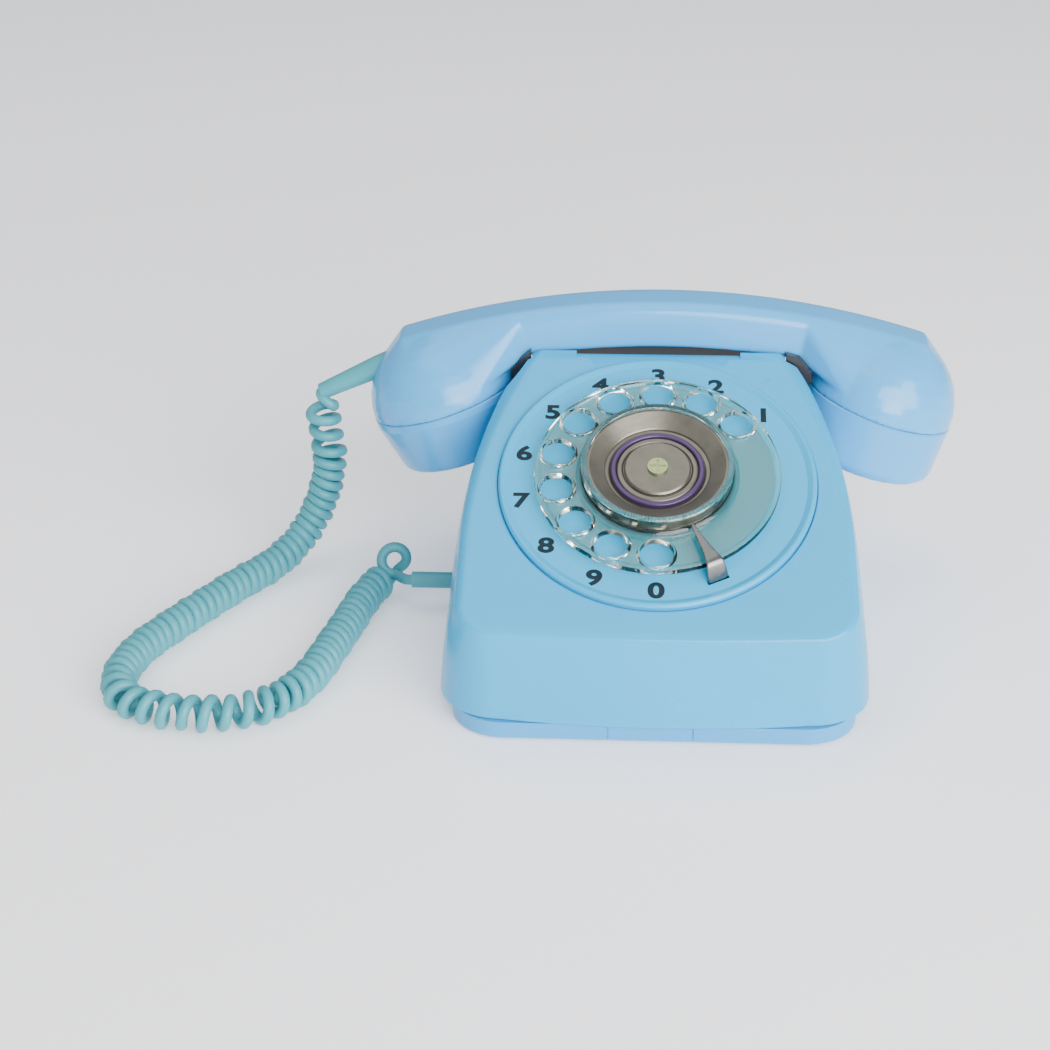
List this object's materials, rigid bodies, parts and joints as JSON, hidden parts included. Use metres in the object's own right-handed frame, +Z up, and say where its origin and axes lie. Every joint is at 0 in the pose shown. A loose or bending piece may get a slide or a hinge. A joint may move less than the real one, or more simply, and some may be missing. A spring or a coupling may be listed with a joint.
{
  "type": "rotary desk telephone",
  "caption": "Rotary desk telephone with a sloped moulded housing, clear finger wheel, arched handset across the top and a curly cord to its left side",
  "frame": {"origin": "on the table, at the middle of the telephone's footprint without its cord", "axes": "+X to the right as seen by the person dialling, along the handset; +Y to the rear; +Z up"},
  "size_m": [0.3292, 0.201, 0.122],
  "materials": {
    "blue_shell": "glossy moulded, pale sky blue",
    "blue_tray": "glossy moulded, sky blue, a little deeper",
    "blue_plate": "satin moulded, pale sky blue, dark numerals",
    "blue_handset": "glossy moulded, pale blue",
    "teal_cord": "soft vinyl, dull teal",
    "clear_plastic": "clear acrylic with a slight yellow-green cast",
    "dull_steel": "turned, grey-brown",
    "violet_enamel": "dark violet enamel",
    "screw_brass": "dull brass",
    "stop_chrome": "polished",
    "bright_steel": "zinc plated",
    "spring_steel": "spring steel",
    "bearing_brass": "turned brass",
    "contact_brass": "rolled brass",
    "gong_brass": "spun brass",
    "coil_wrap": "lacquered paper wrap",
    "board_laminate": "laminate",
    "capacitor_case": "dipped case",
    "terminal_plastic": "phenolic",
    "black_plastic": "black moulded",
    "foot_rubber": "soft rubber",
    "capsule_alloy": "pressed alloy"
  },
  "bodies": {
    "telephone": {"housing": "blue_shell", "base_tray": "blue_tray", "rubber_feet": "foot_rubber", "tray_screws": "bright_steel", "number_plate": "blue_plate", "finger_stop": "stop_chrome", "dial_chassis": "bright_steel", "dial_bearing": "bearing_brass", "dial_return_spring": "spring_steel", "pulse_contacts": "contact_brass", "ringer_chassis": "bright_steel", "ringer_coils": "coil_wrap", "gong_left": "gong_brass", "gong_right": "gong_brass", "gong_screws": "bright_steel", "hook_bracket": "bright_steel", "hook_contacts": "contact_brass", "hook_return_spring": "spring_steel", "circuit_board": "board_laminate", "speech_transformer": "coil_wrap", "ringer_capacitor": "capacitor_case", "terminal_block": "terminal_plastic", "line_inlet": "black_plastic", "housing_cord_boot": "teal_cord", "cord_lead": "teal_cord", "curly_cord": "teal_cord"},
    "dial": {"finger_wheel": "clear_plastic", "centre_dish": "dull_steel", "centre_ring": "violet_enamel", "centre_cap": "dull_steel", "centre_screw": "screw_brass", "dial_shaft": "bright_steel", "main_gear": "bearing_brass"},
    "intermediate_shaft": {"intermediate_gear": "bearing_brass", "pulse_cam": "terminal_plastic"},
    "governor": {"governor_shaft": "bright_steel", "governor_weights": "bearing_brass"},
    "cradle_hook": {"hook_yoke": "black_plastic", "hook_plungers": "black_plastic"},
    "hook_arm": {"hook_lever": "bright_steel"},
    "clapper": {"clapper_arm": "bright_steel", "clapper_ball": "bearing_brass"},
    "handset": {"handset_shell": "blue_handset", "transmitter_cap": "blue_handset", "receiver_cap": "blue_handset", "transmitter_capsule": "capsule_alloy", "receiver_capsule": "capsule_alloy", "capsule_rings": "foot_rubber", "handset_cord_boot": "teal_cord"}
  },
  "joints": [
    {"name": "dial_turn", "type": "hinge", "parent": "telephone", "child": "dial", "pos_m": [0, -0.0298, 0.074], "axis": [0, 0.4226, -0.9063], "range_deg": [0, 326], "stiffness_Nm_per_rad": 0.004, "springref_deg": -85.94},
    {"name": "intermediate_turn", "type": "hinge", "parent": "telephone", "child": "intermediate_shaft", "pos_m": [0.0303, -0.0298, 0.074], "axis": [0, 0.4226, -0.9063], "range_deg": [-1304, 0]},
    {"name": "governor_spin", "type": "hinge", "parent": "telephone", "child": "governor", "pos_m": [0.004, -0.05428, 0.04604], "axis": [1, 0, 0], "range_deg": [0, 5216]},
    {"name": "handset_lift", "type": "slide", "parent": "telephone", "child": "handset", "axis": [0, 0.5, 0.866], "range_m": [0, 0.12]},
    {"name": "hook_rise", "type": "slide", "parent": "telephone", "child": "cradle_hook", "axis": [0, 0, 1], "range_m": [0, 0.005]},
    {"name": "hook_arm_swing", "type": "hinge", "parent": "telephone", "child": "hook_arm", "pos_m": [0, 0.07, 0.06], "axis": [1, 0, 0], "range_deg": [-10.2, 0]},
    {"name": "clapper_swing", "type": "hinge", "parent": "telephone", "child": "clapper", "pos_m": [0, 0.062, 0.018], "axis": [0, 0, 1], "range_deg": [-4.5, 4.5]}
  ],
  "couplings": [
    {"joint": "intermediate_turn", "follows": "dial_turn", "ratio": -4},
    {"joint": "governor_spin", "follows": "dial_turn", "ratio": 16},
    {"joint": "hook_rise", "follows": "handset_lift", "ratio": 0.04167},
    {"joint": "hook_arm_swing", "follows": "handset_lift", "rad_per_m": -1.454}
  ]
}
